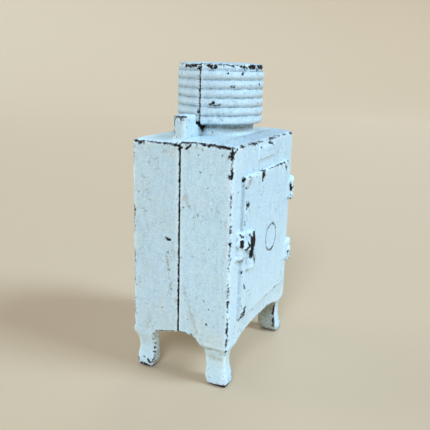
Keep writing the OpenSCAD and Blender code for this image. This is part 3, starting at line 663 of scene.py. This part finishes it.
def painted_casting():
    t = Tree("painted_casting")
    co = t.attr("rest_mm", vector=True)
    # where the paint is gone, with a crisp ragged edge
    fine = t.noise(co, 1.9, 4.0, 0.70)
    ragged = t.math("ADD", t.math("MULTIPLY", t.math("SUBTRACT", fine, 0.5), 1.7),
                    t.math("MULTIPLY", t.math("SUBTRACT", t.noise(co, 3.6, 2.0, 0.6), 0.5), 1.3))
    ragged = t.math("SUBTRACT", ragged, 0.03)
    bare = t.ramp(t.math("ADD", t.attr("bare"), ragged), -0.035, 0.035)
    # pinholes in the paint
    v = t.node("ShaderNodeTexVoronoi", feature="F1")
    v.inputs["Scale"].default_value = 0.34
    t.link(co, v.inputs["Vector"])
    hole_size = t.ramp(t.noise(co, 0.21, 2.0), 0.52, 0.72, -0.02, 0.072)
    holes = t.math("LESS_THAN", v.outputs["Distance"], hole_size)
    bare = t.math("MAXIMUM", bare, t.math("MULTIPLY", holes, 0.85))
    # specks, each of its own size, in loose groups
    w = t.node("ShaderNodeTexVoronoi", feature="F1")
    w.inputs["Scale"].default_value = 0.60
    t.link(co, w.inputs["Vector"])
    pick = t.node("ShaderNodeSeparateColor")
    t.link(w.outputs["Color"], pick.inputs[0])
    speck_r = t.math("MULTIPLY", t.ramp(pick.outputs[0], 0.55, 1.0, -0.02, 0.30, smooth=False), t.ramp(t.noise(co, 0.24, 2.0), 0.42, 0.62, 0.30, 1.0))
    dots = t.ramp(t.math("SUBTRACT", t.math("ADD", speck_r, t.math("MULTIPLY", t.math("SUBTRACT", fine, 0.5), 0.25)), w.outputs["Distance"]), -0.03, 0.03)
    hollow = t.ramp(t.math("ADD", t.attr("hollow"), t.math("MULTIPLY", t.math("SUBTRACT", fine, 0.5), 1.2)), -0.1, 0.15)
    metal = t.math("MAXIMUM", bare, hollow)

    # paint: brushed, mottled, yellowed in places
    streak = t.noise(co, 1.1, 4.0, 0.65, stretch=(0.9, 0.9, 0.20))
    mottle = t.noise(co, 0.16, 4.0, 0.6)
    speck = t.noise(co, 1.25, 4.0, 0.75)
    grain = t.noise(co, 2.3, 3.0, 0.70)
    warm = t.math("ADD", t.ramp(mottle, 0.46, 0.66, 0.0, 0.35), t.math("MULTIPLY", t.attr("warm"), t.ramp(mottle, 0.35, 0.60, 0.35, 1.0)), clamp=True)
    paint = t.mix(warm, PAINT, PAINT_WARM)
    # painted shade, and a darker tone in places
    paint = t.mix(t.math("MULTIPLY", t.attr("painted_shade_and_tone"), 0.72), paint, PAINTED_SHADE_TINT)
    paint = t.mix(t.ramp(streak, 0.46, 0.70, 0.0, 0.44), paint, PAINT_GREY)
    across = t.noise(co, 2.6, 3.0, 0.65, stretch=(0.16, 0.16, 1.0))
    paint = t.mix(t.ramp(across, 0.50, 0.70, 0.0, 0.40), paint, PAINT_GREY)
    # the front is seen at a slant, so what speckles it is drawn out across it
    wide_co = t.node("ShaderNodeVectorMath", operation="MULTIPLY")
    wide_co.inputs[1].default_value = (0.45, 1, 1)
    t.link(co, wide_co.inputs[0])
    broad = t.noise(wide_co.outputs[0], 1.15, 4.0, 0.75)
    paint = t.mix(t.ramp(speck, 0.53, 0.70, 0.0, 0.26), paint, PAINT_GREY)
    paint = t.mix(t.ramp(broad, 0.54, 0.68, 0.0, 0.42), paint, PAINT_GREY)
    paint = t.mix(t.ramp(grain, 0.51, 0.66, 0.0, 0.42), paint, PAINT_GREY)
    paint = t.mix(t.ramp(grain, 0.49, 0.36, 0.0, 0.50), paint, PAINT_LIGHT)
    coarse = t.math("MULTIPLY", t.attr("on_drum"), t.ramp(t.noise(co, 1.0, 4.0, 0.75), 0.46, 0.60, 0.0, 0.75))
    paint = t.mix(coarse, paint, PAINT_GREY)
    # painted highlight on standing edges, and a lighter front
    paint = t.mix(t.math("MULTIPLY", t.attr("edge_highlight_and_pale_front"), t.ramp(speck, 0.35, 0.55, 0.15, 0.60)), paint, PAINT_LIGHT)
    paint = t.mix(t.math("MULTIPLY", dots, 0.62), paint, (0.12, 0.125, 0.12))
    # hair cracks, in patches, longer than they are wide
    tall = t.node("ShaderNodeVectorMath", operation="MULTIPLY")
    tall.inputs[1].default_value = (1, 1, 0.42)
    t.link(co, tall.inputs[0])
    wander = t.node("ShaderNodeTexNoise")
    wander.inputs["Scale"].default_value = 0.75
    wander.inputs["Detail"].default_value = 4.0
    t.link(co, wander.inputs["Vector"])
    shift = t.node("ShaderNodeVectorMath", operation="MULTIPLY_ADD")
    shift.inputs[1].default_value = (2.6, 2.6, 1.3)
    t.link(wander.outputs["Color"], shift.inputs[0])
    t.link(tall.outputs[0], shift.inputs[2])
    net = t.node("ShaderNodeTexVoronoi", feature="DISTANCE_TO_EDGE")
    net.inputs["Scale"].default_value = 0.36
    t.link(shift.outputs[0], net.inputs["Vector"])
    patch = t.math("MULTIPLY", t.ramp(t.noise(co, 0.085, 3.0, 0.6), 0.47, 0.60), t.ramp(t.noise(co, 0.70, 3.0, 0.6), 0.44, 0.56))
    crack = t.math("MULTIPLY", t.ramp(net.outputs["Distance"], 0.036, 0.010), patch)
    paint = t.mix(t.math("MULTIPLY", crack, 0.50), paint, (0.20, 0.215, 0.17))
    # rust tint, and painted warm shade on the front legs' inner faces
    paint = t.mix(t.math("MULTIPLY", t.ramp(t.math("ADD", t.attr("rust"), t.math("MULTIPLY", t.math("SUBTRACT", speck, 0.5), 1.1)), 0.28, 1.15), 0.58), paint, RUST_AND_SHADE_TINT)
    # dirt, and painted shade in corners, under the coil housing and on the legs' inner faces
    grime_and_shade = t.math("MULTIPLY", t.attr("grime_and_shade"), t.ramp(t.noise(co, 0.9, 3.0, 0.6), 0.30, 0.66, 0.25, 1.0), clamp=True)
    paint = t.mix(t.ramp(grime_and_shade, 0.05, 0.95, 0.0, 0.80), paint, DIRT_AND_SHADE)
    # the ring round the roundel, and the grooves of the coil housing darkened with dirt and painted shade
    flat = t.node("ShaderNodeVectorMath", operation="MULTIPLY")
    flat.inputs[1].default_value = (1, 0, 1)
    t.link(co, flat.inputs[0])
    dist = t.node("ShaderNodeVectorMath", operation="DISTANCE")
    t.link(flat.outputs[0], dist.inputs[0])
    dist.inputs[1].default_value = (5.0, 0, 46.25)
    off = t.math("ABSOLUTE", t.math("SUBTRACT", dist.outputs["Value"], 5.0))
    broken = t.ramp(t.noise(co, 0.34, 4.0, 0.7), 0.34, 0.58, 0.20, 0.62)
    line = t.math("MULTIPLY", t.ramp(t.math("SUBTRACT", broken, off), -0.08, 0.12), t.attr("on_door"))
    line = t.math("MULTIPLY", line, t.ramp(t.noise(co, 0.22, 2.0), 0.40, 0.58, 0.40, 0.95))
    paint = t.mix(line, paint, (0.022, 0.022, 0.020))
    split = t.node("ShaderNodeSeparateXYZ")
    t.link(co, split.inputs[0])
    step = t.math("DIVIDE", t.math("SUBTRACT", split.outputs["Z"], DRUM_BASE), 2.95)
    off = t.math("MULTIPLY", t.math("ABSOLUTE", t.math("SUBTRACT", step, t.math("ROUND", step))), 2.95)
    # dark lines in the grooves between the ribs: dirt and painted shade
    wide = t.ramp(t.noise(co, 0.50, 4.0, 0.7), 0.34, 0.66, 0.02, 0.32)
    line = t.math("MULTIPLY", t.ramp(t.math("SUBTRACT", wide, off), -0.08, 0.18), t.attr("on_drum"))
    paint = t.mix(t.math("MULTIPLY", line, 0.58), paint, (0.19, 0.24, 0.26))
    core = t.math("SUBTRACT", t.ramp(t.noise(co, 0.42, 3.0, 0.65), 0.44, 0.64, -0.06, 0.13), off)
    core = t.math("MULTIPLY", t.ramp(core, -0.03, 0.05), t.attr("on_drum"))
    paint = t.mix(t.math("MULTIPLY", core, 0.62), paint, (0.085, 0.085, 0.075))
    colour = t.mix(metal, paint, t.mix(hollow, iron_colour(t, co, SEAM_Y), inside_colour(t, co)))
    t.link(colour, t.bsdf.inputs["Base Color"])
    rough_paint = t.ramp(t.noise(co, 1.3, 2.0), 0.3, 0.7, 0.40, 0.58, smooth=False)
    rough = t.node("ShaderNodeMix", data_type="FLOAT")
    t.link(metal, rough.inputs[0])
    t.link(rough_paint, rough.inputs[2])
    rough.inputs[3].default_value = 0.66
    t.link(rough.outputs[0], t.bsdf.inputs["Roughness"])
    t.link(t.ramp(metal, 0.0, 1.0, 0.5, 0.14, smooth=False), t.bsdf.inputs["Specular IOR Level"])
    # fine skin that the mesh is too coarse to hold
    skin = t.math("MULTIPLY", t.noise(co, 1.7, 4.0, 0.7), t.ramp(t.attr("on_drum"), 0.0, 1.0, 0.75, 1.7, smooth=False))
    skin = t.math("ADD", skin, t.math("MULTIPLY", streak, 0.5))
    skin = t.math("SUBTRACT", t.math("SUBTRACT", skin, t.math("MULTIPLY", metal, 0.7)), t.math("MULTIPLY", t.math("ADD", dots, crack), 0.25))
    b = t.node("ShaderNodeBump")
    b.inputs["Strength"].default_value = 0.85
    b.inputs["Distance"].default_value = 0.00020
    t.link(skin, b.inputs["Height"])
    t.link(b.outputs["Normal"], t.bsdf.inputs["Normal"])
    return t.mat


def bare_screw():
    t = Tree("bare_screw")
    co = t.attr("rest_mm", vector=True)
    n1 = t.noise(co, 1.1, 4.0, 0.6)
    n2 = t.noise(co, 3.5, 3.0, 0.6)
    c = t.mix(t.ramp(n1, 0.45, 0.70), (0.075, 0.062, 0.055), (0.13, 0.062, 0.030))
    c = t.mix(t.ramp(n2, 0.62, 0.78, 0.0, 0.6), c, (0.24, 0.22, 0.20))
    paint = t.ramp(t.math("ADD", t.attr("paint"), t.math("MULTIPLY", t.math("SUBTRACT", n2, 0.5), 0.9)), -0.04, 0.04)
    c = t.mix(paint, c, PAINT)
    t.link(c, t.bsdf.inputs["Base Color"])
    t.link(t.ramp(n2, 0.3, 0.7, 0.42, 0.70, smooth=False), t.bsdf.inputs["Roughness"])
    t.link(t.ramp(paint, 0.0, 1.0, 0.65, 0.0, smooth=False), t.bsdf.inputs["Metallic"])
    b = t.node("ShaderNodeBump")
    b.inputs["Strength"].default_value = 0.5
    b.inputs["Distance"].default_value = 0.00006
    t.link(n2, b.inputs["Height"])
    t.link(b.outputs["Normal"], t.bsdf.inputs["Normal"])
    return t.mat


# ---------------------------------------------------------------- the screw
def screw():
    ob = remeshed("assembly_screw", "machine_screw", 0.16)
    me = ob.data
    v = verts_of(me)
    s = Smoother(me)
    v = s.run(v, 2, 0.5)
    put_verts(me, v)
    n = normals_of(me)
    x, y, z = v[:, 0], v[:, 1], v[:, 2] - 50.0
    r = np.hypot(x, z)
    ang = np.arctan2(z, x) / (2 * math.pi)
    lo = v[:, 1].min()
    # a right-hand thread of 0.8 mm pitch over the front 16 mm of the shank
    turn = (y / 0.8 + ang) % 1.0
    groove = 0.5 - 0.5 * np.cos(2 * math.pi * turn)
    on_side = smoothstep(r, 1.5, 1.85) * (r < 2.4)
    run = smoothstep(y, lo + 0.1, lo + 0.5) * (1 - smoothstep(y, lo + 15.5, lo + 16.2))
    cut = -0.36 * groove * on_side * run
    taper = -0.35 * (1 - smoothstep(y, lo, lo + 0.6)) * on_side
    d = cut + taper + 0.02 * noise(v, 91, 0.9, 2)
    radial = np.stack([x, np.zeros(len(x)), z], 1) / np.maximum(r, 1e-6)[:, None]
    head = y > lo + 31.0
    v2 = v + radial * np.where(head, 0, d)[:, None] + n * (np.where(head, 0.03 * noise(v, 92, 0.8, 2), 0))[:, None]
    put_verts(me, v2)
    top = v[:, 1].max()
    # a few traces of paint round the rim of the head
    rim = smoothstep(r, 0.78 * r.max(), 0.96 * r.max())
    paint = np.where(y > top - 2.6, -0.62 + 0.42 * rim + 0.55 * noise(v, 93, 1.2, 2), -1.0)
    store(me, "rest_mm", v)
    store(me, "paint", np.clip(paint, -1, 1))
    me.polygons.foreach_set("use_smooth", np.ones(len(me.polygons), dtype=bool))
    me.update()
    return ob


front = casting("front_half", "front_casting", 100)
rear = casting("rear_half", "rear_casting", 300)
bolt = screw()
finish = painted_casting()
for ob in (front, rear):
    ob.data.materials.clear()
    ob.data.materials.append(finish)
bolt.data.materials.clear()
bolt.data.materials.append(bare_screw())
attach(front, "front_half")
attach(rear, "rear_half")
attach(bolt, "assembly_screw")
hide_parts("front_half")
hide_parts("rear_half")
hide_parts("assembly_screw")


# ---------------------------------------------------------------- floor, camera, light
def plain(name, colour, rough):
    m = bpy.data.materials.new(name)
    m.use_nodes = True
    b = m.node_tree.nodes["Principled BSDF"]
    b.inputs["Base Color"].default_value = (*colour, 1)
    b.inputs["Roughness"].default_value = rough
    return m


def studio_floor():
    """A round floor whose rim turns up into a low wall, so that no horizon shows from any side."""
    profile = [(0.0, 0.0), (0.3, 0.0), (0.7, 0.0), (1.0, 0.0)]
    profile += [(1.0 + 0.6 * math.sin(a), 0.6 - 0.6 * math.cos(a)) for a in [math.pi / 2 * k / 16 for k in range(1, 17)]]
    profile += [(1.6, 1.5)]
    turns = 96
    points, faces = [(0, 0, 0)], []
    for r, h in profile[1:]:
        points += [(r * math.cos(2 * math.pi * k / turns), r * math.sin(2 * math.pi * k / turns), h) for k in range(turns)]
    for k in range(turns):
        faces.append((0, 1 + k, 1 + (k + 1) % turns))
    for i in range(len(profile) - 2):
        for k in range(turns):
            a, b = 1 + i * turns + k, 1 + i * turns + (k + 1) % turns
            faces.append((a, a + turns, b + turns, b))
    me = bpy.data.meshes.new("floor")
    me.from_pydata(points, [], faces)
    me.polygons.foreach_set("use_smooth", np.ones(len(me.polygons), dtype=bool))
    ob = bpy.data.objects.new("floor", me)
    bpy.context.scene.collection.objects.link(ob)
    ob.visible_shadow = False     # the lamps stand outside the wall
    return ob


floor = studio_floor()
floor.data.materials.append(plain("floor", (0.60, 0.46, 0.31), 0.70))

A, E, ROLL = math.radians(-64.249), math.radians(15.017), math.radians(1.565)
eye = Vector((-0.188662, -0.08908, 0.10892))
back = Vector((math.sin(A) * math.cos(E), -math.cos(A) * math.cos(E), math.sin(E)))
right = Vector((0, 0, 1)).cross(back).normalized()
up = back.cross(right)
r2 = right * math.cos(ROLL) + up * math.sin(ROLL)
u2 = up * math.cos(ROLL) - right * math.sin(ROLL)
cam = bpy.data.cameras.new("camera")
cam_ob = bpy.data.objects.new("camera", cam)
bpy.context.scene.collection.objects.link(cam_ob)
cam.sensor_width = 36
cam.lens = 48.665
cam.clip_start, cam.clip_end = 0.01, 20
m = Matrix((r2, u2, back)).transposed().to_4x4()
m.translation = eye
cam_ob.matrix_world = m
bpy.context.scene.camera = cam_ob

world = bpy.data.worlds.new("studio")
bpy.context.scene.world = world
world.use_nodes = True
world.node_tree.nodes["Background"].inputs[0].default_value = (0.82, 0.93, 1.0, 1)
world.node_tree.nodes["Background"].inputs[1].default_value = 0.18


def softbox(name, come_from, strength, colour, width):
    """A large far lamp: an even light from one direction, width degrees across."""
    l = bpy.data.lights.new(name, "SUN")
    l.angle = math.radians(width)
    l.energy = strength
    l.color = colour
    o = bpy.data.objects.new(name, l)
    bpy.context.scene.collection.objects.link(o)
    o.location = come_from
    o.rotation_euler = (-Vector(come_from)).to_track_quat("-Z", "Y").to_euler()


softbox("key", (0.15, -1.0, 0.92), 2.66, (0.54, 0.77, 1.0), 20)
softbox("fill", (-1.0, -0.25, 0.80), 2.02, (0.63, 0.79, 1.0), 20)
softbox("far side", (1.0, 0.15, 0.30), 0.95, (0.86, 0.94, 1.0), 35)
softbox("back", (-0.15, 1.0, 0.30), 1.10, (0.86, 0.94, 1.0), 35)

bpy.context.scene.view_settings.view_transform = "Standard"
